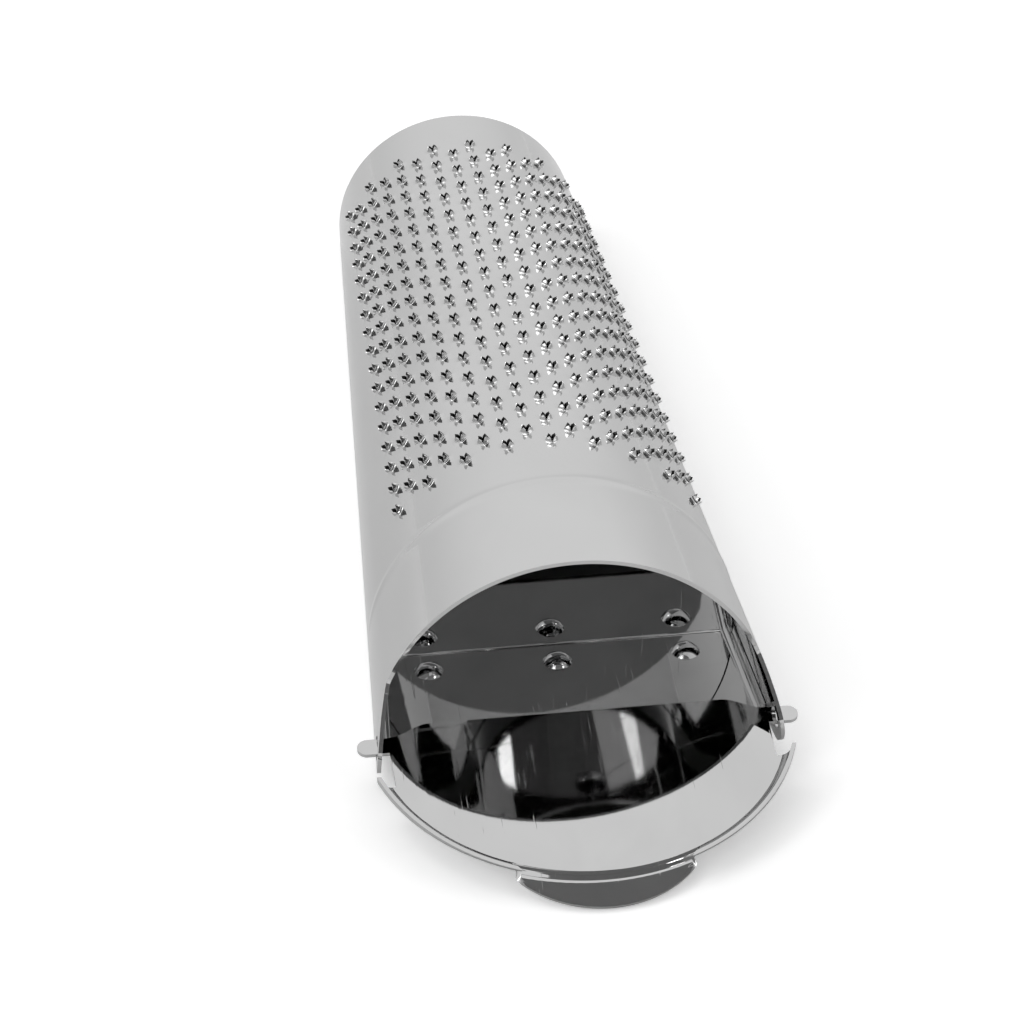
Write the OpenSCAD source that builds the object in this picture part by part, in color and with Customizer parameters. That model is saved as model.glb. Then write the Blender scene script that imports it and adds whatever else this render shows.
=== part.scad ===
// Nutmeg grater: a half-round grating shell with a nutmeg box behind a hinged lid.
// Millimetres. X runs across, Y from the lid end to the open far end, Z up from the table.

/* [Grating shell] */
// Length of the shell along Y
shell_length = 130; // [120:1:140]
// Outer radius of the arch at the lid end
near_radius = 25; // [24.5:0.1:25.5]
// Outer radius of the arch at the open far end
far_radius = 18.55; // [17.5:0.05:19.5]
// Thickness of every sheet
sheet = 0.5; // [0.45:0.01:0.55]
// Height of the axis of the arch above the table
axis_height = 2.5; // [2.5:0.1:3]
// Width of the fold under each long side
fold_width = 3; // [2.5:0.1:5]
// Outer radius of that fold
fold_radius = 0.9; // [0.8:0.05:1]

/* [Star teeth] */
// Columns of stars round the arch, an odd number
star_columns = 17; // [13:2:17]
// Stars in the middle column and in every second one from it
star_rows = 17; // [12:1:17]
// Distance from the rim to the first star
first_star = 29.26; // [28:0.02:31]
// Pitch of the stars along Y in one column
star_pitch = 5.612; // [5.4:0.002:5.65]
// Pitch of the columns, measured round the arch
column_pitch = 2.851; // [2.7:0.001:2.9]
// How far the whole field sits to the right of the middle
field_offset = 1.1; // [0:0.1:1.2]
// From the middle of a star to each side of its square hole
hole_reach = 0.44; // [0.4:0.02:0.46]
// Height of the four petals that the punch turns outwards
tooth_height = 1; // [0.8:0.05:1.1]
// From the middle of a star to the outer face of a petal at its foot
tooth_reach = 0.64; // [0.6:0.02:0.7]
// How far a petal leans outwards at its tip
tooth_lean = 0.18; // [0.1:0.02:0.2]

/* [Hinge] */
// Distance of the hinge axis in front of the rim
hinge_front = 4.1; // [4:0.05:4.4]
// Height of the hinge axis above the axis of the arch
hinge_rise = 2.1; // [2:0.05:2.2]
// Radius of the rounded ear round the hinge axis
ear_radius = 3.1; // [2.8:0.1:3.2]
// Height above the axis of the arch at which the ear meets the rim
ear_shoulder = 8.9; // [8:0.1:9]
// Radius of the round edges of the lid's pivot tongue
pivot_radius = 1.32; // [1.2:0.02:1.4]
// Running clearance of the tongue in the hole of the ear
pivot_clearance = 0.08; // [0.05:0.01:0.1]
// How far each tongue reaches from the middle
pivot_reach = 27.5; // [27.3:0.1:28]

/* [Back plate] */
// Gap between the plate and the wall of the shell, past the fold's inner curve
plate_gap = 0.05; // [0.03:0.01:0.1]

/* [Nutmeg box] */
// Distance from the rim to the front edge of the tray
tray_front = 0.4; // [0.4:0.1:1]
// Distance from the rim to the face of the partition
box_depth = 18.2; // [17:0.1:19]
// Outer radius of the curl along each side of the tray
curl_radius = 1.5; // [1.2:0.05:1.5]
// Straight part of the curl above its bend
curl_lip = 0.4; // [0.2:0.1:1]
// Gap between the tray and the wall of the shell
tray_gap = 0.08; // [0.05:0.01:0.15]
// Inner radius of the bend between floor and partition
corner_radius = 0.3; // [0.2:0.05:0.5]

/* [Rivets] */
// Distance between neighbouring rivets
rivet_spacing = 16.7; // [15:0.1:17.5]
// Distance from the rim to the row of rivets
rivet_row = 14.6; // [13.5:0.1:15]
// Radius of the domed head
head_radius = 1.9; // [1.7:0.05:2.1]
// Height of the domed head
head_height = 1; // [0.8:0.05:1.2]
// Radius of the shank
shank_radius = 1; // [0.9:0.05:1.2]
// Clearance round the shank
shank_clearance = 0.05; // [0.03:0.01:0.1]
// Radius of the flat tail under the plate
tail_radius = 1.6; // [1.4:0.05:1.8]
// Thickness of the flat tail
tail_height = 0.35; // [0.25:0.05:0.4]

/* [Lid] */
// Drop of the open lid below level, so that its tab meets the table
lid_drop = 5.4; // [5:0.1:5.4]
// Gap between the rim wall of the closed lid and the shell
lid_gap = 1.7; // [1.5:0.05:1.8]
// How far the middle of the upright lid stands above the axis of the arch
lid_lift = 0.5; // [0.3:0.05:0.7]
// Inner radius of the bend at the foot of the rim wall
rim_bend = 1.3; // [1.1:0.05:1.4]
// Height of the rim wall above the middle of the sheet at its hinge ends
rim_high = 2.2; // [1.8:0.1:2.2]
// Height of the rim wall opposite the hinge
rim_low = 0.9; // [0.7:0.1:1]
// Distance from the hinge axis to the ends of the rim wall
rim_start = 7.3; // [7:0.1:8]
// Half width of the lid at the hinge axis
arm_half = 23.7; // [23:0.1:23.7]
// How far the heel reaches behind the hinge axis
heel_reach = 3.35; // [3:0.05:3.4]
// Half width of the straight part of the heel
heel_half = 18.3; // [16:0.1:19]

/* [Thumb tab] */
// Half width of the tab where it leaves the rim
tab_half = 9.5; // [8:0.1:11]
// Distance from the hinge axis to the tip of the tab
tab_reach = 28.3; // [27.8:0.1:28.4]
// Middle radius of the two bends of the step
tab_bend = 0.8; // [0.7:0.05:0.8]
// Slit between the tab and the ends of the rim wall
tab_slit = 0.25; // [0.2:0.05:0.5]

/* [Hidden] */
$fn = 96;
half = sheet / 2;
taper = atan((near_radius - far_radius) / shell_length);
radial_sheet = sheet / cos(taper);
fold_top = -axis_height + sheet;
plate_top = fold_top + sheet;
floor_top = plate_top + sheet;
hinge = [-hinge_front, hinge_rise];
ear_low = -axis_height + fold_radius;
ear_foot = ear_low + 0.2;
ear_inner = ear_radius - 0.03;
tooth_bury = 0.1;
notch_foot = 0.2;
notch_half = (tooth_reach + tooth_lean) * sin(45);
tray_inset = radial_sheet + tray_gap;
tray_side = near_radius - tray_inset;
wall_radius = radius_at(box_depth + sheet) - tray_inset;
lid_radius = near_radius + lid_gap + sheet;
lid_centre = hinge_rise - lid_lift;
flat_radius = lid_radius - rim_bend - sheet;
rim_slope = (rim_high - rim_low) / (lid_radius - lid_centre - rim_start);
arm_front = arm_half - 0.3;
arm_back = pivot_radius + 0.03;
tab_chord = sqrt(pow(lid_radius, 2) - pow(tab_half, 2)) - lid_centre;
tab_depth = tab_reach - tab_chord;
tab_radius = (pow(tab_half, 2) + pow(tab_depth, 2)) / (2 * tab_depth);
step_start = lid_radius - 2 * tab_bend;
step_drop = 2 * tab_bend;
lid_tip = -hinge_front - tab_reach * cos(lid_drop) + (step_drop - half) * sin(lid_drop);
middle = (shell_length + lid_tip) / 2;
far_out = 60;

function radius_at(y) = near_radius - y * (near_radius - far_radius) / shell_length;

function polar(r, a) = [r * cos(a), r * sin(a)];

// The point where a line from p touches the circle round c, on the side that turn names.
function touch(p, c, r, turn) =
    let (d = norm(c - p), to = atan2(c[1] - p[1], c[0] - p[0]))
    p + polar(sqrt(d * d - r * r), to + turn * asin(r / d));

// Moves the part from the axis of the arch to the table under the middle of its length.
module seated() {
    translate([0, -middle, axis_height])
        children();
}

// Stands a side view (Y across, Z up) in the frame and gives it width along X.
module side_view(width) {
    rotate([90, 0, 90])
        linear_extrude(width, center = true)
            children();
}

// Half a conical band between two insets from the outer face of the arch.
module arch(outer, inner, from, to) {
    rotate([-90, 0, 0])
        rotate([0, 0, 180])
            rotate_extrude(angle = 180)
                polygon([
                    [radius_at(from) - inner, from],
                    [radius_at(from) - outer, from],
                    [radius_at(to) - outer, to],
                    [radius_at(to) - inner, to]
                ]);
}

// Runs a profile along both tapered walls. Its X is measured from the wall, its Y is height.
module along_walls(inset) {
    for (side = [0, 1])
        mirror([side, 0, 0])
            translate([near_radius - inset, 0, 0])
                rotate([0, 0, taper])
                    rotate([90, 0, 0])
                        translate([0, 0, -shell_length - 20])
                            linear_extrude(shell_length + 40)
                                children();
}

// A quarter of a ring from its lowest point to its rightmost point, for a bent sheet.
module bend(radius) {
    intersection() {
        difference() {
            circle(radius);
            circle(radius - sheet);
        }
        translate([0, -radius])
            square(radius);
    }
}

// A leg of the shell with the fold at its foot.
module leg_profile() {
    translate([-sheet, ear_low])
        square([sheet, -ear_low]);
    translate([-fold_radius, ear_low])
        bend(fold_radius);
    translate([-fold_width, -axis_height])
        square([fold_width - fold_radius, sheet]);
}

// Side view of the whole shell: a plain body with an ear in front of the rim.
module shell_outline() {
    top = touch([0, ear_shoulder], hinge, ear_inner, -1);
    low = touch([0, ear_foot], hinge, ear_inner, 1);
    difference() {
        union() {
            translate([0, -axis_height - 1])
                square([shell_length, axis_height + near_radius + 2]);
            polygon([[1, ear_foot], [1, ear_shoulder], [0, ear_shoulder], top, hinge, low, [0, ear_foot]]);
            translate(hinge)
                circle(ear_radius);
        }
        translate(hinge)
            circle(pivot_radius + pivot_clearance);
    }
}

// Puts a shape made at the origin, with Z outwards, on the outer face of the arch.
module on_arch(column, y) {
    translate([0, y, 0])
        rotate([0, (field_offset + column * column_pitch) / radius_at(y) * 180 / PI, 0])
            translate([0, 0, radius_at(y)])
                rotate([-taper, 0, 0])
                    children();
}

// Every place of the field. Every second column is half a pitch further on and one star shorter.
module star_field() {
    side_columns = (star_columns - 1) / 2;
    for (column = [-side_columns:side_columns]) {
        shift = abs(column) % 2;
        for (row = [0:star_rows - 1 - shift])
            on_arch(column, first_star + (row + shift / 2) * star_pitch)
                children();
    }
}

// A wedge with two sides that lean outwards, reach away from its middle at the face of the sheet.
module leaning_wedge(reach, from, to) {
    slope = tooth_lean / tooth_height;
    rotate([90, 0, 0])
        linear_extrude(8 * tooth_reach, center = true)
            polygon([
                [-reach - slope * from, from],
                [reach + slope * from, from],
                [reach + slope * to, to],
                [-reach - slope * to, to]
            ]);
}

// A square cone that opens upwards, with its corners on X and Y.
module square_cone(reach, from, to) {
    intersection() {
        rotate([0, 0, 45])
            leaning_wedge(reach, from, to);
        rotate([0, 0, 135])
            leaning_wedge(reach, from, to);
    }
}

module star_hole() {
    square_cone(hole_reach, -2 * tooth_height, 2 * tooth_height);
}

// The notch that runs from the middle of a star out through one of its corners.
module star_notch(corner) {
    rotate([0, 0, 90 * corner])
        rotate([90, 0, 90])
            linear_extrude(3 * tooth_reach)
                polygon([
                    [0, notch_foot],
                    [2 * notch_half, 2 * tooth_height - notch_foot],
                    [-2 * notch_half, 2 * tooth_height - notch_foot]
                ]);
}

// A four-sided stud with a notch at each corner, so that four points are left above the hole.
module star_crown() {
    difference() {
        square_cone(tooth_reach, -tooth_bury, 1.2 * tooth_height);
        star_notch(0);
        star_notch(1);
        star_notch(2);
        star_notch(3);
    }
}

// The arch with its legs, folds, ears and field of star teeth, all one sheet.
module grating_shell() {
    color("silver") seated()
        difference() {
            union() {
                intersection() {
                    union() {
                        arch(0, radial_sheet, -10, shell_length + 10);
                        along_walls(0)
                            leg_profile();
                    }
                    side_view(far_out)
                        shell_outline();
                }
                star_field()
                    star_crown();
            }
            star_field()
                star_hole();
        }
}

// The flat back, lying on the folds of the shell.
module back_plate() {
    inset = fold_radius + plate_gap;
    color("silver") seated()
        difference() {
            translate([0, 0, fold_top])
                linear_extrude(sheet)
                    polygon([
                        [inset - near_radius, 0],
                        [near_radius - inset, 0],
                        [far_radius - inset, shell_length],
                        [inset - far_radius, shell_length]
                    ]);
            rivet_places()
                cylinder(r = shank_radius + shank_clearance, h = 20, center = true);
        }
}

module rivet_places() {
    for (x = [-rivet_spacing, 0, rivet_spacing])
        translate([x, rivet_row, 0])
            children();
}

// A side of the tray, curled up against the wall of the shell.
module curl_profile() {
    low = floor_top - sheet + curl_radius;
    translate([-curl_radius, low])
        bend(curl_radius);
    translate([-sheet, low])
        square([sheet, curl_lip]);
}

// Front view of the partition, which fills the arch down to the curls.
module partition_outline() {
    low = floor_top - sheet;
    flat = wall_radius - curl_radius;
    intersection() {
        circle(wall_radius);
        translate([-wall_radius, 0])
            square([2 * wall_radius, wall_radius]);
    }
    translate([-flat, low])
        square([2 * flat, -low]);
    for (side = [-1, 1])
        translate([side * flat, low + curl_radius])
            circle(curl_radius);
}

// Floor, curls and partition of the nutmeg box, bent from one sheet.
module compartment_tray() {
    low = floor_top - sheet;
    back = box_depth + sheet / 2;
    curl_line = tray_side - curl_radius / cos(taper);
    flat_front = curl_line - tray_front * tan(taper);
    flat_back = curl_line - back * tan(taper);
    color("silver") seated()
        difference() {
            union() {
                translate([0, 0, low])
                    linear_extrude(sheet)
                        polygon([
                            [-flat_front, tray_front],
                            [flat_front, tray_front],
                            [flat_back, back],
                            [-flat_back, back]
                        ]);
                intersection() {
                    along_walls(tray_inset)
                        curl_profile();
                    translate([-far_out / 2, tray_front, -far_out / 2])
                        cube([far_out, back - tray_front, far_out]);
                }
                translate([0, box_depth + sheet, 0])
                    rotate([90, 0, 0])
                        linear_extrude(sheet)
                            partition_outline();
                side_view(2 * flat_back)
                    translate([box_depth - corner_radius, floor_top])
                        difference() {
                            translate([0, -sheet / 2])
                                square(corner_radius + sheet / 2);
                            translate([0, corner_radius])
                                circle(corner_radius);
                            translate([-corner_radius, corner_radius])
                                square(2 * corner_radius);
                        }
            }
            rivet_places()
                cylinder(r = shank_radius + shank_clearance, h = 20, center = true);
        }
}

// Three rivets with a domed head on the tray and a flat tail under the plate.
module tray_rivets() {
    dome = (pow(head_radius, 2) + pow(head_height, 2)) / (2 * head_height);
    color("gainsboro") seated()
        rivet_places()
            rotate_extrude() {
                translate([0, floor_top])
                    intersection() {
                        translate([0, head_height - dome])
                            circle(dome);
                        square([head_radius, head_height]);
                    }
                translate([0, fold_top - tail_height / 2])
                    square([shank_radius, floor_top - fold_top + tail_height]);
                translate([0, fold_top - tail_height])
                    square([tail_radius, tail_height]);
            }
}

// Half of the plan of the lid from its rim ends to its heel, X across and Y behind the hinge axis.
function lid_side() = concat(
    [[arm_front - 1.5, -rim_start - 2], [arm_front, -rim_start], [arm_half, arm_back]],
    [for (k = [12:-1:0])
        [heel_half + (arm_half - 0.2 - heel_half) * k / 12,
         (heel_reach + arm_back) / 2 + (heel_reach - arm_back) / 2 * cos(15 * k)]]
);

// Flat part of the lid between the ears, with the heel behind the axis.
module lid_arms() {
    right = lid_side();
    left = [for (k = [len(right) - 1:-1:0]) [-right[k][0], right[k][1]]];
    linear_extrude(sheet, center = true)
        polygon(concat(right, left));
}

// Disc of the lid and the rim wall that stands round it, in one revolved profile.
module lid_dish() {
    translate([rim_start, -half])
        square([flat_radius - rim_start, sheet]);
    translate([flat_radius, rim_bend + half])
        bend(rim_bend + sheet);
    translate([lid_radius - sheet, rim_bend + half])
        square([sheet, rim_high]);
}

// Space in front of the rim ends and under the sloping edge of the rim wall.
module rim_space() {
    side_view(far_out)
        polygon([
            [-rim_start, -far_out],
            [-rim_start, rim_high],
            [-far_out, rim_high - rim_slope * (far_out - rim_start)],
            [-far_out, -far_out]
        ]);
}

module tab_plan(grow) {
    linear_extrude(far_out, center = true)
        translate([0, tab_radius - tab_reach])
            circle(tab_radius + grow);
}

// The sheet of the tab along a radius of the lid: flat, down the step, flat again.
module tab_profile() {
    translate([step_start - 3, -half])
        square([3, sheet]);
    translate([step_start, -tab_bend])
        mirror([0, 1])
            bend(tab_bend + half);
    translate([lid_radius, -tab_bend])
        mirror([1, 0])
            bend(tab_bend + half);
    translate([lid_radius, -step_drop - half])
        square([10, sheet]);
}

// One pivot tongue at each side: the sheet itself, with its edges turned round.
module pivot_tongues() {
    intersection() {
        rotate([0, 90, 0])
            cylinder(r = pivot_radius, h = 2 * pivot_reach, center = true);
        linear_extrude(sheet, center = true)
            for (side = [0, 1])
                mirror([side, 0]) {
                    translate([arm_half - 2, -pivot_radius])
                        square([pivot_reach - pivot_radius - arm_half + 2, 2 * pivot_radius]);
                    translate([pivot_reach - pivot_radius, 0])
                        circle(pivot_radius);
                }
    }
}

// The hinged lid, drawn level round its hinge axis and then dropped to its rest.
module lid() {
    color("silver") seated()
        translate([0, hinge[0], hinge[1]])
            rotate([lid_drop, 0, 0]) {
                difference() {
                    intersection() {
                        translate([0, lid_centre, 0])
                            rotate_extrude()
                                lid_dish();
                        rim_space();
                    }
                    intersection() {
                        tab_plan(tab_slit);
                        translate([0, lid_centre, -far_out / 2])
                            rotate_extrude()
                                translate([step_start, 0])
                                    square(far_out);
                    }
                }
                lid_arms();
                pivot_tongues();
                intersection() {
                    translate([0, lid_centre, 0])
                        rotate_extrude()
                            tab_profile();
                    tab_plan(0);
                }
            }
}

grating_shell();
back_plate();
compartment_tray();
tray_rivets();
lid();
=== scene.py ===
import math
import bmesh
import bpy
from mathutils import Matrix, Vector


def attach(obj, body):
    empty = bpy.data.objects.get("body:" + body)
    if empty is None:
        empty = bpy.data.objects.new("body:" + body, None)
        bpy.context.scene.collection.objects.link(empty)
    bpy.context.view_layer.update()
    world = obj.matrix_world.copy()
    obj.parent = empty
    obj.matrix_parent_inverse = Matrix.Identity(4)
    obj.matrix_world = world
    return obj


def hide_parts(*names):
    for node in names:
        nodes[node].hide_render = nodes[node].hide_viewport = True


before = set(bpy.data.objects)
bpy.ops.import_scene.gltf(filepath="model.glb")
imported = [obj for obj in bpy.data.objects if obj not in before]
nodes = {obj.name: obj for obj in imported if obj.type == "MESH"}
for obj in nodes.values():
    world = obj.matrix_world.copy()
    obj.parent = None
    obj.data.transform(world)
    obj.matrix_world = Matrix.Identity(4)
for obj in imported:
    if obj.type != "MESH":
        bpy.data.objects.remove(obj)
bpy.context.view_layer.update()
scene = bpy.context.scene
scene.view_settings.view_transform = "Standard"
mm = 0.001  # metres
metre = 1000  # mm
print("frame loaded:", sorted(nodes))


# camera at the photograph's place
cameraSpec = {
    "place": (-0.0467, -0.352926, 0.2457),
    "right": (0.9917, -0.1287, -0.0018),
    "up": (0.0743, 0.5609, 0.8245),
    "lens": 110.0,  # mm
    "sensor": 36.0,
    "shiftX": -0.001,
    "clipStart": 0.01,
}


def addCamera(spec):
    data = bpy.data.cameras.new("photoCamera")
    data.sensor_width = spec["sensor"]
    data.lens = spec["lens"]
    data.shift_x = spec["shiftX"]
    data.clip_start = spec["clipStart"]
    camera = bpy.data.objects.new("photoCamera", data)
    scene.collection.objects.link(camera)
    right = Vector(spec["right"]).normalized()
    back = right.cross(Vector(spec["up"])).normalized()
    up = back.cross(right)
    turn = Matrix((right, up, back)).transposed().to_4x4()
    camera.matrix_world = Matrix.Translation(spec["place"]) @ turn
    scene.camera = camera


addCamera(cameraSpec)


# studio: a white room, a pale floor, dim panels over and beside the camera, small soft lamps
studioSpec = {
    "floorSize": 6.0,
    "floorDrop": 0.00002,  # the floor lies this far under the part
    "floorColour": (0.88, 0.88, 0.88),
    "floorLift": 0.36,  # own light of the floor for the camera, so that it comes out white
    "worldLow": 0.8,  # light of the room at the horizon
    "worldHigh": 1.0,  # and from worldTop upwards
    "worldTop": 0.5,
    "panels": {  # place, size and tone of each dim panel
        "frontPanel": ((0.25, -1.1, 0.78), (1.4, 1.0), 0.22),
        "upperPanel": ((0.12, -0.25, 1.05), (1.2, 0.9), 0.22),
        "sidePanel": ((1.1, -0.66, 0.42), (0.8, 0.8), 0.35),
    },
    "lamps": {  # place, width and power of each soft lamp
        "topLamp": ((-0.4, 0.3, 0.75), 0.24, 0.6),
        "leftLamp": ((-0.57, -0.12, 0.48), 0.22, 0.4),
        "rightLamp": ((0.7, -0.05, 0.22), 0.24, 0.25),
        "frontLampLeft": ((-0.46, -0.58, 0.6), 0.1, 0.12),
        "frontLampRight": ((0.5, -0.58, 0.6), 0.1, 0.22),
    },
}


def addWorld(spec):
    world = bpy.data.worlds.new("whiteRoom")
    world.use_nodes = True
    scene.world = world
    tree = world.node_tree
    background = tree.nodes["Background"]
    background.inputs["Color"].default_value = (1, 1, 1, 1)
    facing = tree.nodes.new("ShaderNodeTexCoord")
    parts = tree.nodes.new("ShaderNodeSeparateXYZ")
    tree.links.new(facing.outputs["Generated"], parts.inputs["Vector"])
    rise = tree.nodes.new("ShaderNodeMapRange")
    rise.interpolation_type = "SMOOTHSTEP"
    rise.inputs["From Max"].default_value = spec["worldTop"]
    rise.inputs["To Min"].default_value = spec["worldLow"]
    rise.inputs["To Max"].default_value = spec["worldHigh"]
    tree.links.new(parts.outputs["Z"], rise.inputs["Value"])
    path = tree.nodes.new("ShaderNodeLightPath")
    seen = tree.nodes.new("ShaderNodeMath")
    seen.operation = "MAXIMUM"
    tree.links.new(rise.outputs["Result"], seen.inputs[0])
    tree.links.new(path.outputs["Is Camera Ray"], seen.inputs[1])
    tree.links.new(seen.outputs["Value"], background.inputs["Strength"])


def addFloor(spec):
    bpy.ops.object.select_all(action="DESELECT")
    bpy.ops.mesh.primitive_plane_add(size=spec["floorSize"], location=(0, 0, -spec["floorDrop"]))
    floor = bpy.context.object
    floor.name = "studioFloor"
    bpy.ops.object.transform_apply(location=True, rotation=True, scale=True)
    paint = bpy.data.materials.new("paleFloor")
    paint.use_nodes = True
    tree = paint.node_tree
    shader = tree.nodes["Principled BSDF"]
    shader.inputs["Base Color"].default_value = (*spec["floorColour"], 1)
    shader.inputs["Roughness"].default_value = 1.0
    shader.inputs["Specular IOR Level"].default_value = 0.0
    shader.inputs["Emission Color"].default_value = (1, 1, 1, 1)
    lift = tree.nodes.new("ShaderNodeMath")
    lift.operation = "MULTIPLY"
    lift.inputs[1].default_value = spec["floorLift"]
    path = tree.nodes.new("ShaderNodeLightPath")
    tree.links.new(path.outputs["Is Camera Ray"], lift.inputs[0])
    tree.links.new(lift.outputs[0], shader.inputs["Emission Strength"])
    floor.data.materials.append(paint)


def addPanels(spec):
    for name, (place, size, tone) in spec["panels"].items():
        bpy.ops.object.select_all(action="DESELECT")
        bpy.ops.mesh.primitive_plane_add(size=1.0)
        panel = bpy.context.object
        panel.name = name
        panel.scale = (*size, 1)
        panel.rotation_euler = (-Vector(place)).to_track_quat("Z", "Y").to_euler()
        panel.location = place
        bpy.ops.object.transform_apply(location=True, rotation=True, scale=True)
        cloth = bpy.data.materials.new(name + "Cloth")
        cloth.use_nodes = True
        shader = cloth.node_tree.nodes["Principled BSDF"]
        shader.inputs["Base Color"].default_value = (tone, tone, tone, 1)
        shader.inputs["Roughness"].default_value = 1.0
        panel.data.materials.append(cloth)
        panel.visible_camera = False


def addLamps(spec):
    for name, (place, width, power) in spec["lamps"].items():
        data = bpy.data.lights.new(name, "AREA")
        data.shape = "SQUARE"
        data.size = width
        data.energy = power
        lamp = bpy.data.objects.new(name, data)
        scene.collection.objects.link(lamp)
        lamp.location = place
        lamp.rotation_euler = (-Vector(place)).to_track_quat("-Z", "Y").to_euler()
        lamp.visible_camera = False


addWorld(studioSpec)
addFloor(studioSpec)
addPanels(studioSpec)
addLamps(studioSpec)
print("studio set up")


# polished sheet steel: fine polish lines one way, light scratches, faint smears
polishSpec = {
    "smearDetail": 4.0,
    "smearDistortion": 0.6,
    "toneBand": (0.3, 0.7),  # part of the smear that goes from dark to light
    "roughBand": (0.3, 0.75),  # and from smooth to rough
    "lineDetail": 5.0,
    "lineRoughness": 0.7,
    "lineDepth": 0.00002,
    "scratchDetail": 2.0,
    "scratchBand": (0.68, 0.74),  # only the peaks of the noise are scratches
    "scratchDepth": 0.00003,
}


def addNoise(tree, scale, detail, turn=0):
    place = tree.nodes.new("ShaderNodeTexCoord")
    mapping = tree.nodes.new("ShaderNodeMapping")
    mapping.inputs["Rotation"].default_value = (0, 0, math.radians(turn))
    mapping.inputs["Scale"].default_value = scale
    tree.links.new(place.outputs["Object"], mapping.inputs["Vector"])
    noise = tree.nodes.new("ShaderNodeTexNoise")
    noise.inputs["Scale"].default_value = 1.0
    noise.inputs["Detail"].default_value = detail
    tree.links.new(mapping.outputs["Vector"], noise.inputs["Vector"])
    return noise


def addRange(tree, source, fromBand, toBand):
    spread = tree.nodes.new("ShaderNodeMapRange")
    spread.inputs["From Min"].default_value = fromBand[0]
    spread.inputs["From Max"].default_value = fromBand[1]
    spread.inputs["To Min"].default_value = toBand[0]
    spread.inputs["To Max"].default_value = toBand[1]
    tree.links.new(source, spread.inputs["Value"])
    return spread.outputs["Result"]


def addBump(tree, height, strength, depth):
    bump = tree.nodes.new("ShaderNodeBump")
    bump.inputs["Strength"].default_value = strength
    bump.inputs["Distance"].default_value = depth
    tree.links.new(height, bump.inputs["Height"])
    return bump


def makeSteel(name, spec):
    steel = bpy.data.materials.new(name)
    steel.use_nodes = True
    tree = steel.node_tree
    link = tree.links.new
    shader = tree.nodes["Principled BSDF"]
    shader.inputs["Metallic"].default_value = 1.0

    smear = addNoise(tree, spec["smearScale"], polishSpec["smearDetail"])
    smear.inputs["Distortion"].default_value = polishSpec["smearDistortion"]
    tone = tree.nodes.new("ShaderNodeValToRGB")
    shades = (spec["darkTone"], spec["lightTone"])
    for element, position, shade in zip(tone.color_ramp.elements, polishSpec["toneBand"], shades):
        element.position = position
        element.color = (*shade, 1)
    link(smear.outputs["Fac"], tone.inputs["Fac"])
    link(tone.outputs["Color"], shader.inputs["Base Color"])
    rough = addRange(tree, smear.outputs["Fac"], polishSpec["roughBand"], spec["rough"])
    link(rough, shader.inputs["Roughness"])

    lines = addNoise(tree, spec["lineScale"], polishSpec["lineDetail"])
    lines.inputs["Roughness"].default_value = polishSpec["lineRoughness"]
    bump = addBump(tree, lines.outputs["Fac"], spec["lineStrength"], polishSpec["lineDepth"])
    scratch = addNoise(tree, spec["scratchScale"], polishSpec["scratchDetail"], spec["scratchTurn"])
    sparse = addRange(tree, scratch.outputs["Fac"], polishSpec["scratchBand"], (0, 1))
    groove = addBump(tree, sparse, spec["scratchStrength"], polishSpec["scratchDepth"])
    link(bump.outputs["Normal"], groove.inputs["Normal"])
    link(groove.outputs["Normal"], shader.inputs["Normal"])
    return steel


def dress(nodeName, steel):
    node = nodes[nodeName]
    for number in range(len(node.material_slots)):
        node.material_slots[number].material = steel


steelSpecs = {
    "grating_shell": {
        "darkTone": (0.55, 0.55, 0.55), "lightTone": (0.585, 0.585, 0.585),
        "smearScale": (60, 30, 60), "lineScale": (2500, 60, 2500),
        "rough": (0.06, 0.1), "lineStrength": 0.03,
        "scratchTurn": 20, "scratchScale": (30, 1500, 1500), "scratchStrength": 0.05,
    },
    "shell_inside": {
        "darkTone": (0.68, 0.68, 0.68), "lightTone": (0.73, 0.73, 0.73),
        "smearScale": (60, 30, 60), "lineScale": (2500, 60, 2500),
        "rough": (0.03, 0.06), "lineStrength": 0.04,
        "scratchTurn": 70, "scratchScale": (30, 1500, 1500), "scratchStrength": 0.1,
    },
    # painted shade: a near-black steel for the inner faces of the petals, standing in for the shade
    # inside each star
    "star_inside_painted_shade": {
        "darkTone": (0.04, 0.04, 0.04), "lightTone": (0.06, 0.06, 0.06),
        "smearScale": (900, 900, 900), "lineScale": (2500, 2500, 2500),
        "rough": (0.3, 0.4), "lineStrength": 0.1,
        "scratchTurn": 0, "scratchScale": (900, 900, 900), "scratchStrength": 0.1,
    },
    "back_plate": {
        "darkTone": (0.56, 0.565, 0.57), "lightTone": (0.62, 0.625, 0.63),
        "smearScale": (60, 30, 60), "lineScale": (3000, 40, 3000),
        "rough": (0.2, 0.3), "lineStrength": 0.2,
        "scratchTurn": 80, "scratchScale": (40, 1800, 40), "scratchStrength": 0.2,
    },
    "compartment_tray": {
        "darkTone": (0.53, 0.53, 0.53), "lightTone": (0.58, 0.58, 0.58),
        "smearScale": (90, 90, 90), "lineScale": (2500, 80, 2500),
        "rough": (0.02, 0.05), "lineStrength": 0.04,
        "scratchTurn": 12, "scratchScale": (2600, 90, 90), "scratchStrength": 0.3,
    },
    "tray_rivets": {
        "darkTone": (0.58, 0.585, 0.59), "lightTone": (0.64, 0.64, 0.64),
        "smearScale": (300, 300, 300), "lineScale": (900, 900, 900),
        "rough": (0.02, 0.05), "lineStrength": 0.03,
        "scratchTurn": 30, "scratchScale": (300, 2600, 300), "scratchStrength": 0.15,
    },
    "lid": {
        "darkTone": (0.53, 0.53, 0.53), "lightTone": (0.58, 0.58, 0.58),
        "smearScale": (70, 50, 70), "lineScale": (3000, 60, 3000),
        "rough": (0.015, 0.045), "lineStrength": 0.06,
        "scratchTurn": -14, "scratchScale": (2600, 90, 90), "scratchStrength": 0.28,
    },
}
steels = {name: makeSteel(name + "_steel", spec) for name, spec in steelSpecs.items()}
print("steel done")


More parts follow.
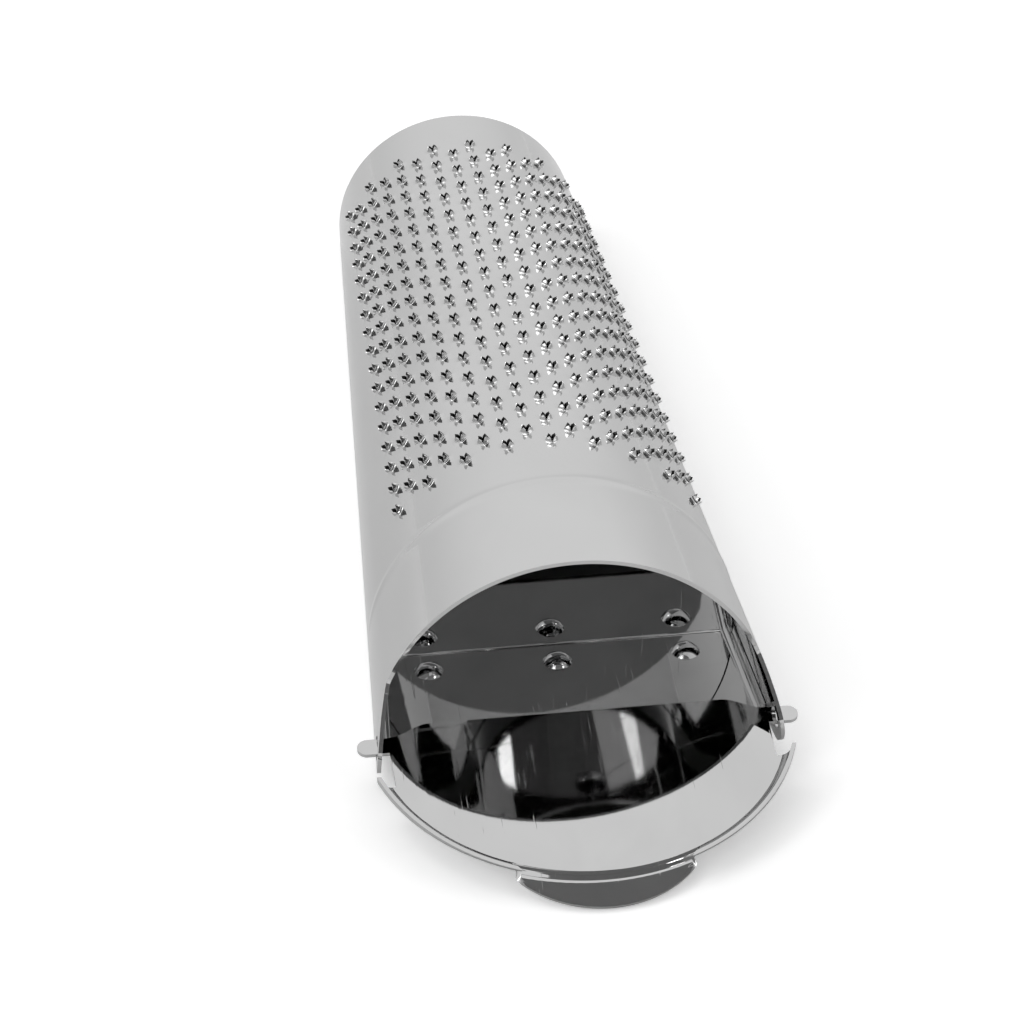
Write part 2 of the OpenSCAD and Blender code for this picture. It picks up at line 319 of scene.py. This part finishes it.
# grating sheet: laid out flat in mm, punched with stars, then rolled into the tapered arch
sheetSpec = {
    "length": 130.0,
    "nearRadius": 25.0,
    "farRadius": 18.55,
    "thickness": 0.5,
    "legDrop": 1.6,  # straight leg under the arch
    "foldRadius": 0.9,
    "foldFlat": 2.1,
    "axisHeight": 2.5,
    "rimPlace": -48.9263,  # where the near rim lies along the part
    "ridgePlace": 19.4,  # low ridge round the arch, over the partition
    "ridgeReach": 2.2,
    "ridgeWidth": 0.75,
    "ridgeLift": 0.12,
    "ridgeFade": 8,  # length over which it runs out at the foot of the arch
    "frontSteps": 7,  # rows of faces from the rim to the ridge, over it, up to the stars and behind them
    "ridgeSteps": 18,
    "gapSteps": 3,
    "backSteps": 4,
    "sideSteps": 3,  # columns from the stars to the ears, round the fold and under the back
    "bendSteps": 5,
    "foldSteps": 2,
    "mergeReach": 0.002,
    "smoothAngle": 62,
}
starSpec = {
    "columns": 17,
    "rows": 17,
    "first": 28.9,  # first row from the rim
    "pitch": 5.612,  # from row to row in one column
    "columnPitch": 2.851,
    "offset": 1.1,  # of the field from the middle line
    "cellSteps": 4,
    "petals": 4,
    "firstTurn": 45,
    "loops": {  # reach, lift and rounding of each square loop from the flat sheet up to the petals
        "ring": (0.88, 0.0, 0.4),
        "fillet": (0.71, 0.06, 0.25),
        "root": (0.64, 0.22, 0.2),
    },
    "waistReach": 0.66,
    "waistLift": 0.55,
    "waistHalf": 0.35,
    "waistBow": 0.03,
    "tipReach": 0.67,
    "tipLift": 0.9,
    "tipThickness": 0.2,  # share of the sheet's thickness that is left at the tip
    "thinning": 0.5,
}
earSpec = {
    "hinge": (-4.1, 2.1),  # along and up from the rim's middle
    "radius": 3.1,
    "hole": 1.5,
    "shoulder": 8.9,
    "foot": -1.4,
    "legStep": 0.7,
    "rings": (0, 0.35, 0.7, 1),  # from the hole to the outline
    "rimSteps": 8,
    "lowSteps": 3,
    "roundSteps": 15,
    "topSteps": 5,
}

slope = (sheetSpec["nearRadius"] - sheetSpec["farRadius"]) / sheetSpec["length"]
taper = math.atan(slope)


def radiusAt(y):
    return sheetSpec["nearRadius"] - y * slope


def arcHalf(y):
    return math.pi / 2 * radiusAt(y)


# a point of the flat sheet (across, along, above) at its place on the rolled sheet, in metres
def rolled(flat):
    side = -1 if flat.x < 0 else 1
    radius = radiusAt(flat.y)
    past = abs(flat.x) - arcHalf(flat.y)
    bendLength = math.pi / 2 * sheetSpec["foldRadius"]
    lift = flat.z
    if past <= 0:
        turn = abs(flat.x) / radius
        away = (flat.y - sheetSpec["ridgePlace"]) / sheetSpec["ridgeWidth"]
        fade = min(-past / sheetSpec["ridgeFade"], 1)
        lift += sheetSpec["ridgeLift"] * math.exp(-away ** 2) * fade
        across = radius * math.sin(turn)
        height = radius * math.cos(turn)
        facing = (
            math.sin(turn) * math.cos(taper),
            math.sin(taper),
            math.cos(turn) * math.cos(taper),
        )
    elif past <= sheetSpec["legDrop"]:
        across = radius
        height = -past
        facing = (math.cos(taper), math.sin(taper), 0)
    else:
        turn = min((past - sheetSpec["legDrop"]) / sheetSpec["foldRadius"], math.pi / 2)
        under = max(past - sheetSpec["legDrop"] - bendLength, 0)
        inward = sheetSpec["foldRadius"] * (1 - math.cos(turn)) + under
        across = radius - inward / math.cos(taper)
        height = -sheetSpec["legDrop"] - sheetSpec["foldRadius"] * math.sin(turn)
        facing = (
            math.cos(turn) * math.cos(taper),
            math.cos(turn) * math.sin(taper),
            -math.sin(turn),
        )
    point = Vector((across, flat.y, height)) + Vector(facing) * lift
    return Vector((
        side * point.x,
        point.y + sheetSpec["rimPlace"],
        point.z + sheetSpec["axisHeight"],
    )) * mm


# a point of the side view (along, up) of the wall, laid out flat
def unrolled(side, y, z):
    if z <= 0:
        across = arcHalf(y) - z
    else:
        across = arcHalf(y) - radiusAt(y) * math.asin(z / radiusAt(y))
    return Vector((side * across, y, 0))


def steps(start, end, count):
    return [start + (end - start) * number / count for number in range(count)]


# lines along the sheet as (fixed part, share of the half arc), so that they follow the taper
def sheetLines():
    half = starSpec["columns"] * starSpec["columnPitch"] / 2
    earArc = radiusAt(0) * math.asin(earSpec["shoulder"] / radiusAt(0))
    bendLength = math.pi / 2 * sheetSpec["foldRadius"]
    foldStart = sheetSpec["legDrop"] + bendLength
    foldEnd = foldStart + sheetSpec["foldFlat"]
    drops = [earSpec["legStep"], -earSpec["foot"]]
    drops += steps(sheetSpec["legDrop"], foldStart, sheetSpec["bendSteps"])
    drops += steps(foldStart, foldEnd, sheetSpec["foldSteps"])
    drops.append(foldEnd)
    sides = {}
    for side in (-1, 1):
        edge = starSpec["offset"] + side * half
        earShare = (arcHalf(0) - earArc - abs(edge)) / (arcHalf(0) - abs(edge))
        shares = steps(0, earShare, sheetSpec["sideSteps"])[1:]
        shares += steps(earShare, 1, earSpec["rimSteps"]) + [1.0]
        sides[side] = [(edge * (1 - share), side * share) for share in shares]
        sides[side] += [(side * drop, side) for drop in drops]
    count = starSpec["columns"] * starSpec["cellSteps"]
    field = [(u, 0) for u in steps(starSpec["offset"] - half, starSpec["offset"] + half, count)]
    field.append((starSpec["offset"] + half, 0))
    return sides[-1][::-1] + field + sides[1]


def sheetRows():
    halfPitch = starSpec["pitch"] / 2
    start = starSpec["first"] - halfPitch / 2
    count = 2 * starSpec["rows"] - 1
    end = start + count * halfPitch
    ridge = sheetSpec["ridgePlace"]
    reach = sheetSpec["ridgeReach"]
    rows = steps(0, ridge - reach, sheetSpec["frontSteps"])
    rows += steps(ridge - reach, ridge + reach, sheetSpec["ridgeSteps"])
    rows += steps(ridge + reach, start, sheetSpec["gapSteps"])
    rows += steps(start, end, count * starSpec["cellSteps"])
    return rows + steps(end, sheetSpec["length"], sheetSpec["backSteps"]) + [sheetSpec["length"]]


def starPlaces():
    halfPitch = starSpec["pitch"] / 2
    side = starSpec["columns"] // 2
    places = {}
    for column in range(-side, side + 1):
        for row in range(abs(column) % 2, 2 * starSpec["rows"] - 1, 2):
            places[column, row] = Vector((
                starSpec["offset"] + column * starSpec["columnPitch"],
                starSpec["first"] + row * halfPitch,
                0,
            ))
    return places


def startPiece(name):
    piece = bpy.context.object
    piece.name = name
    bpy.ops.object.mode_set(mode="EDIT")
    return piece


# extrudes the selected loop of edges and puts each new corner at its next place
def growLoop(piece, before, after):
    bpy.ops.mesh.extrude_edges_move()
    work = bmesh.from_edit_mesh(piece.data)
    for corner in work.verts:
        if corner.select:
            number = min(range(len(before)), key=lambda n: (before[n] - corner.co).length)
            corner.co = after[number]
    bmesh.update_edit_mesh(piece.data)


def placeLoop(piece, points):
    work = bmesh.from_edit_mesh(piece.data)
    work.verts.ensure_lookup_table()
    for number, point in enumerate(points):
        work.verts[number].co = point
    bmesh.update_edit_mesh(piece.data)


def layFlatSheet():
    lines = sheetLines()
    rows = sheetRows()
    bpy.ops.object.select_all(action="DESELECT")
    bpy.ops.mesh.primitive_grid_add(
        x_subdivisions=len(lines) - 1, y_subdivisions=len(rows) - 1, size=1)
    sheet = startPiece("gratingSheet")
    work = bmesh.from_edit_mesh(sheet.data)
    for corner in work.verts:
        y = rows[round((corner.co.y + 0.5) * (len(rows) - 1))]
        fixed, share = lines[round((corner.co.x + 0.5) * (len(lines) - 1))]
        corner.co = (fixed + share * arcHalf(y), y, 0)
    places = starPlaces()
    halfPitch = starSpec["pitch"] / 2
    for face in work.faces:  # the cells that get a star are cut out
        middle = face.calc_center_median()
        column = round((middle.x - starSpec["offset"]) / starSpec["columnPitch"])
        row = round((middle.y - starSpec["first"]) / halfPitch)
        face.select_set((column, row) in places)
    bmesh.update_edit_mesh(sheet.data)
    bpy.ops.mesh.delete(type="FACE")
    bpy.ops.object.mode_set(mode="OBJECT")
    return sheet


# one star: a square cell, a low swelling, and petals bent up round a hole
def punchStar():
    count = starSpec["cellSteps"] * 4
    petals = starSpec["petals"]
    stepsEach = count // petals
    facings = []
    for petal in range(petals):
        turn = math.radians(starSpec["firstTurn"] + 360 / petals * petal)
        out = Vector((math.cos(turn), math.sin(turn), 0))
        along = Vector((-math.sin(turn), math.cos(turn), 0))
        facings.append((out, along))
    rise = Vector((0, 0, 1))
    loops = {}
    for name, (reach, lift, rounding) in starSpec["loops"].items():
        loops[name] = []
        for out, along in facings:
            for share in steps(-1, 1, stepsEach):
                point = out * reach + along * reach * math.tan(math.pi / petals) * share
                point *= 1 - rounding * (point.length / reach - 1)
                loops[name].append(point + rise * lift)
    root, fillet, ring = loops["root"], loops["fillet"], loops["ring"]
    width = starSpec["columnPitch"] / 2
    depth = starSpec["pitch"] / 2 / 2
    corners = [(width, depth), (-width, depth), (-width, -depth), (width, -depth)]
    cell = []
    for number in range(4):
        here = Vector((*corners[number], 0))
        there = Vector((*corners[(number + 1) % 4], 0))
        cell += [here.lerp(there, share) for share in steps(0, 1, starSpec["cellSteps"])]
    start = min(range(count), key=lambda n: (cell[n].normalized() - ring[0].normalized()).length)
    cell = cell[start:] + cell[:start]

    bpy.ops.object.select_all(action="DESELECT")
    bpy.ops.mesh.primitive_circle_add(vertices=count, radius=1)
    star = startPiece("starCell")
    placeLoop(star, root)
    bpy.ops.mesh.select_all(action="SELECT")
    growLoop(star, root, fillet)
    growLoop(star, fillet, ring)
    growLoop(star, ring, cell)
    work = bmesh.from_edit_mesh(star.data)
    work.verts.ensure_lookup_table()
    rootCorners = [work.verts[number] for number in range(count)]
    for petal, (out, along) in enumerate(facings):  # root, waist and tip of each petal
        foot = [rootCorners[(stepsEach * petal + step) % count] for step in range(stepsEach + 1)]
        waist = []
        for share in steps(-1, 1, stepsEach - 2) + [1]:
            reach = starSpec["waistReach"] - starSpec["waistBow"] * share ** 2
            waist.append(work.verts.new(out * reach + along * starSpec["waistHalf"] * share
                                        + rise * starSpec["waistLift"]))
        tip = work.verts.new(out * starSpec["tipReach"] + rise * starSpec["tipLift"])
        work.faces.new((foot[0], foot[1], waist[0]))
        work.faces.new((foot[-2], foot[-1], waist[-1]))
        for step in range(stepsEach - 2):
            work.faces.new((foot[step + 1], foot[step + 2], waist[step + 1], waist[step]))
            work.faces.new((waist[step], waist[step + 1], tip))
    bmesh.update_edit_mesh(star.data)
    bpy.ops.object.mode_set(mode="OBJECT")
    return star


# where the lines of the sheet meet the rim between the two ends of an ear, as heights
def earHeights():
    arc = math.asin(earSpec["shoulder"] / radiusAt(0))
    shares = steps(1, 0, earSpec["rimSteps"]) + [0]
    heights = [radiusAt(0) * math.sin(arc * share) for share in shares]
    return heights + [-earSpec["legStep"], earSpec["foot"]]


# the point where a line from start touches the round end of an ear
def touchEar(start, turn):
    middle = Vector(earSpec["hinge"])
    reach = (middle - start).length
    angle = math.atan2(middle.y - start.y, middle.x - start.x)
    angle += turn * math.asin(earSpec["radius"] / reach)
    length = math.sqrt(reach ** 2 - earSpec["radius"] ** 2)
    return start + Vector((math.cos(angle), math.sin(angle))) * length


# a hinge ear as rings from its hole out to its outline
def cutEar(side):
    middle = Vector(earSpec["hinge"])
    outline = [Vector((0, height)) for height in earHeights()]
    low = touchEar(outline[-1], 1)
    top = touchEar(outline[0], -1)
    outline += steps(outline[-1], low, earSpec["lowSteps"])[1:]
    lowTurn = math.atan2(low.y - middle.y, low.x - middle.x)
    topTurn = math.atan2(top.y - middle.y, top.x - middle.x)
    for turn in steps(lowTurn, topTurn - 2 * math.pi, earSpec["roundSteps"]) + [topTurn]:
        outline.append(middle + Vector((math.cos(turn), math.sin(turn))) * earSpec["radius"])
    outline += steps(top, outline[0], earSpec["topSteps"])[1:]
    hole = [middle + (point - middle).normalized() * earSpec["hole"] for point in outline]
    rings = []
    for share in earSpec["rings"]:
        ring = [inner.lerp(outer, share) for inner, outer in zip(hole, outline)]
        rings.append([unrolled(side, point.x, point.y) for point in ring])
    bpy.ops.object.select_all(action="DESELECT")
    bpy.ops.mesh.primitive_circle_add(vertices=len(hole), radius=1)
    ear = startPiece("hingeEar")
    placeLoop(ear, rings[0])
    bpy.ops.mesh.select_all(action="SELECT")
    for before, after in zip(rings, rings[1:]):
        growLoop(ear, before, after)
    bpy.ops.object.mode_set(mode="OBJECT")
    return ear


def rollSheet(sheet):
    group = sheet.vertex_groups.new(name="thickness")
    for corner in sheet.data.vertices:
        rise = min(max(corner.co.z / starSpec["tipLift"], 0), 1)
        weight = 1 - (1 - starSpec["tipThickness"]) * rise ** starSpec["thinning"]
        group.add([corner.index], weight, "REPLACE")
    for corner in sheet.data.vertices:
        corner.co = rolled(corner.co)
    # the third steel is painted shade, near-black for the hollows of the stars
    for name in ("grating_shell", "shell_inside", "star_inside_painted_shade"):
        sheet.data.materials.append(steels[name])
    wall = sheet.modifiers.new("wall", "SOLIDIFY")
    wall.thickness = sheetSpec["thickness"] * mm
    wall.offset = -1
    wall.vertex_group = group.name
    wall.material_offset = 1
    bpy.ops.object.modifier_apply(modifier=wall.name)
    for face in sheet.data.polygons:  # painted shade: the inner faces of the petals, above the sheet, get a near-black steel that stands in for the shade in the hollow of each star
        height = face.center.z * metre - sheetSpec["axisHeight"]
        reach = math.hypot(face.center.x * metre, height)
        y = face.center.y * metre - sheetSpec["rimPlace"]
        if face.material_index == 1 and reach > radiusAt(y):
            face.material_index = 2
    bpy.ops.object.shade_smooth_by_angle(angle=math.radians(sheetSpec["smoothAngle"]))


def makeGratingSheet():
    sheet = layFlatSheet()
    star = punchStar()
    ears = [cutEar(-1), cutEar(1)]
    bpy.ops.object.select_all(action="DESELECT")
    for place in starPlaces().values():
        copy = star.copy()
        copy.data = star.data.copy()
        copy.location = place
        scene.collection.objects.link(copy)
        copy.select_set(True)
    bpy.data.objects.remove(star)
    for ear in ears:
        ear.select_set(True)
    sheet.select_set(True)
    bpy.context.view_layer.objects.active = sheet
    bpy.ops.object.join()
    bpy.ops.object.mode_set(mode="EDIT")
    bpy.ops.mesh.select_all(action="SELECT")
    bpy.ops.mesh.remove_doubles(threshold=sheetSpec["mergeReach"])
    bpy.ops.mesh.normals_make_consistent(inside=False)
    work = bmesh.from_edit_mesh(sheet.data)
    if sum(face.normal.z * face.calc_area() for face in work.faces) < 0:
        bpy.ops.mesh.flip_normals()
    bpy.ops.object.mode_set(mode="OBJECT")
    rollSheet(sheet)
    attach(sheet, "grater")
    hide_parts("grating_shell")
    print("grating sheet:", len(sheet.data.vertices), "corners,", len(sheet.data.polygons), "faces")


makeGratingSheet()


# lid: a copy of the CAD lid whose thumb tab is bent softly down instead of stepped, all in mm
lidSpec = {
    "hinge": (-53.0263, 4.6),  # along and up
    "drop": 5.4,  # degrees that the lid lies off level
    "centre": 1.6,  # middle of the round lid, from the hinge
    "stepStart": 25.6,  # step of the CAD tab: distance from the middle, and radius of its bends
    "stepBend": 0.8,
    "tabRadius": 12.433,
    "tabReach": 28.3,
    "tabMargin": 0.02,
    # degrees of slope after a length of sheet
    "slopes": ((0, 0), (0.35, 48), (0.85, 48), (1.1, 4), (1.25, 4), (1.5, 17), (9, 17)),
    "lipShare": 0.765,  # of the lip's length that is kept
    "walk": 0.02,
    "mergeReach": 0.000001,  # in metres
    "smoothAngle": 35,
    "evenWeight": 80,
}


# distance from the middle of the lid, drop and slope of the new tab after a length of sheet
def tabLine(length):
    reach = lidSpec["stepStart"]
    drop = 0.0
    slopeHere = 0.0
    for number in range(math.ceil(length / lidSpec["walk"])):
        part = min(lidSpec["walk"], length - number * lidSpec["walk"])
        place = number * lidSpec["walk"] + part / 2
        for (start, low), (end, high) in zip(lidSpec["slopes"], lidSpec["slopes"][1:]):
            if start <= place <= end:
                slopeHere = math.radians(low + (high - low) * (place - start) / (end - start))
        reach += part * math.cos(slopeHere)
        drop += part * math.sin(slopeHere)
    return reach, drop, slopeHere


# length along the stepped tab of the CAD lid and height over the middle of its sheet
def stepLine(reach, height):
    start = lidSpec["stepStart"]
    bend = lidSpec["stepBend"]
    if reach > start + 2 * bend:
        return bend * math.pi + (reach - start - 2 * bend) * lidSpec["lipShare"], height + 2 * bend
    if height > -bend:
        turn = math.atan2(reach - start, height + bend)
        return bend * turn, math.hypot(reach - start, height + bend) - bend
    turn = math.atan2(start + 2 * bend - reach, -height - bend)
    return bend * (math.pi - turn), bend - math.hypot(start + 2 * bend - reach, height + bend)


def bendTab():
    node = nodes["lid"]
    lid = node.copy()
    lid.data = node.data.copy()
    lid.name = "lidSheet"
    lid.parent = None
    scene.collection.objects.link(lid)
    lid.data.transform(node.matrix_world)
    lid.matrix_world = Matrix.Identity(4)
    bpy.ops.object.select_all(action="DESELECT")
    lid.select_set(True)
    bpy.context.view_layer.objects.active = lid
    bpy.ops.mesh.customdata_custom_splitnormals_clear()
    bpy.ops.object.mode_set(mode="EDIT")
    bpy.ops.mesh.select_all(action="SELECT")
    bpy.ops.mesh.remove_doubles(threshold=lidSpec["mergeReach"])
    bpy.ops.object.mode_set(mode="OBJECT")
    tilt = math.radians(lidSpec["drop"])
    hinge = Vector((0, *lidSpec["hinge"]))
    toLevel = Matrix.Rotation(-tilt, 4, "X") @ Matrix.Translation(-hinge)
    tabMiddle = Vector((0, lidSpec["tabRadius"] - lidSpec["tabReach"]))
    for corner in lid.data.vertices:
        level = toLevel @ (corner.co * metre)
        across = Vector((level.x, level.y - lidSpec["centre"]))
        inTab = (level.xy - tabMiddle).length < lidSpec["tabRadius"] + lidSpec["tabMargin"]
        if inTab and across.length > lidSpec["stepStart"]:
            length, over = stepLine(across.length, level.z)
            reach, drop, slopeHere = tabLine(length)
            across *= (reach + over * math.sin(slopeHere)) / across.length
            height = over * math.cos(slopeHere) - drop
            level = Vector((across.x, across.y + lidSpec["centre"], height))
            corner.co = toLevel.inverted() @ level * mm
    bpy.ops.object.shade_smooth_by_angle(angle=math.radians(lidSpec["smoothAngle"]))
    even = lid.modifiers.new("even", "WEIGHTED_NORMAL")
    even.mode = "FACE_AREA"
    even.weight = lidSpec["evenWeight"]
    even.keep_sharp = True
    bpy.ops.object.modifier_apply(modifier=even.name)
    lid.data.materials.clear()
    lid.data.materials.append(steels["lid"])
    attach(lid, "lid")
    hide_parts("lid")
    print("lid:", len(lid.data.polygons), "faces")


bendTab()

for nodeName in nodes:
    dress(nodeName, steels[nodeName])
print("nodes dressed")
